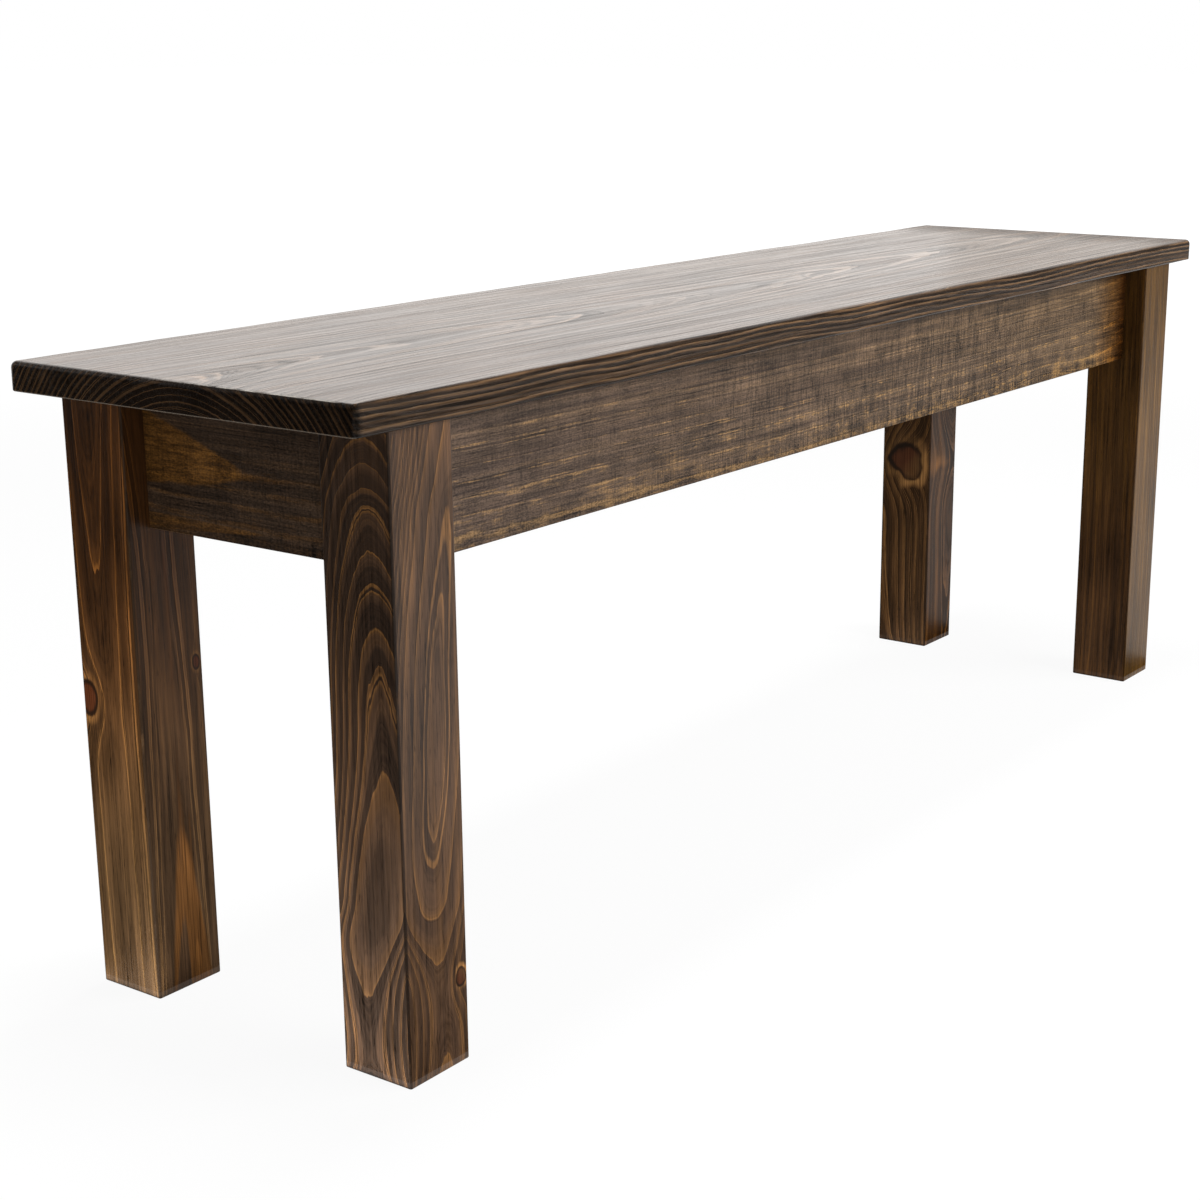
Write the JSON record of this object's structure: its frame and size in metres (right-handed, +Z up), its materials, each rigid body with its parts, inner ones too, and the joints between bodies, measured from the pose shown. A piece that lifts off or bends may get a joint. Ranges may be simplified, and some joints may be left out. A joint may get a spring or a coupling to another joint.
{
  "type": "harvest bench",
  "caption": "Long backless wooden bench with a plank seat, square posts at the corners and plain aprons set back between them; the legs unbolt from corner blocks.",
  "frame": {"origin": "on the floor, under the middle of the seat", "axes": "+X along the seat, -Y to the front, +Z up from the floor"},
  "size_m": [1.2192, 0.3048, 0.4445],
  "materials": {
    "seat_wood": "dark walnut stain, satin lacquer",
    "leg_wood": "dark walnut stain, satin lacquer",
    "sawn_apron_wood": "dark walnut stain on a saw-marked face, low sheen",
    "bare_pine": "bare planed pine",
    "zinc_steel": "zinc plated",
    "screw_steel": "yellow zinc plated"
  },
  "bodies": {
    "root": {"back_apron": "sawn_apron_wood", "back_left_corner_block": "bare_pine", "back_left_leg": "leg_wood", "back_right_corner_block": "bare_pine", "back_right_leg": "leg_wood", "block_screws": "screw_steel", "bolt_nuts": "zinc_steel", "bolt_washers": "zinc_steel", "brace_screws": "screw_steel", "centre_brace": "bare_pine", "front_apron": "sawn_apron_wood", "front_left_corner_block": "bare_pine", "front_left_leg": "leg_wood", "front_right_corner_block": "bare_pine", "front_right_leg": "leg_wood", "hanger_bolts": "zinc_steel", "left_end_apron": "sawn_apron_wood", "right_end_apron": "sawn_apron_wood", "seat_plank": "seat_wood", "seat_screws": "screw_steel"}
  },
  "joints": []
}
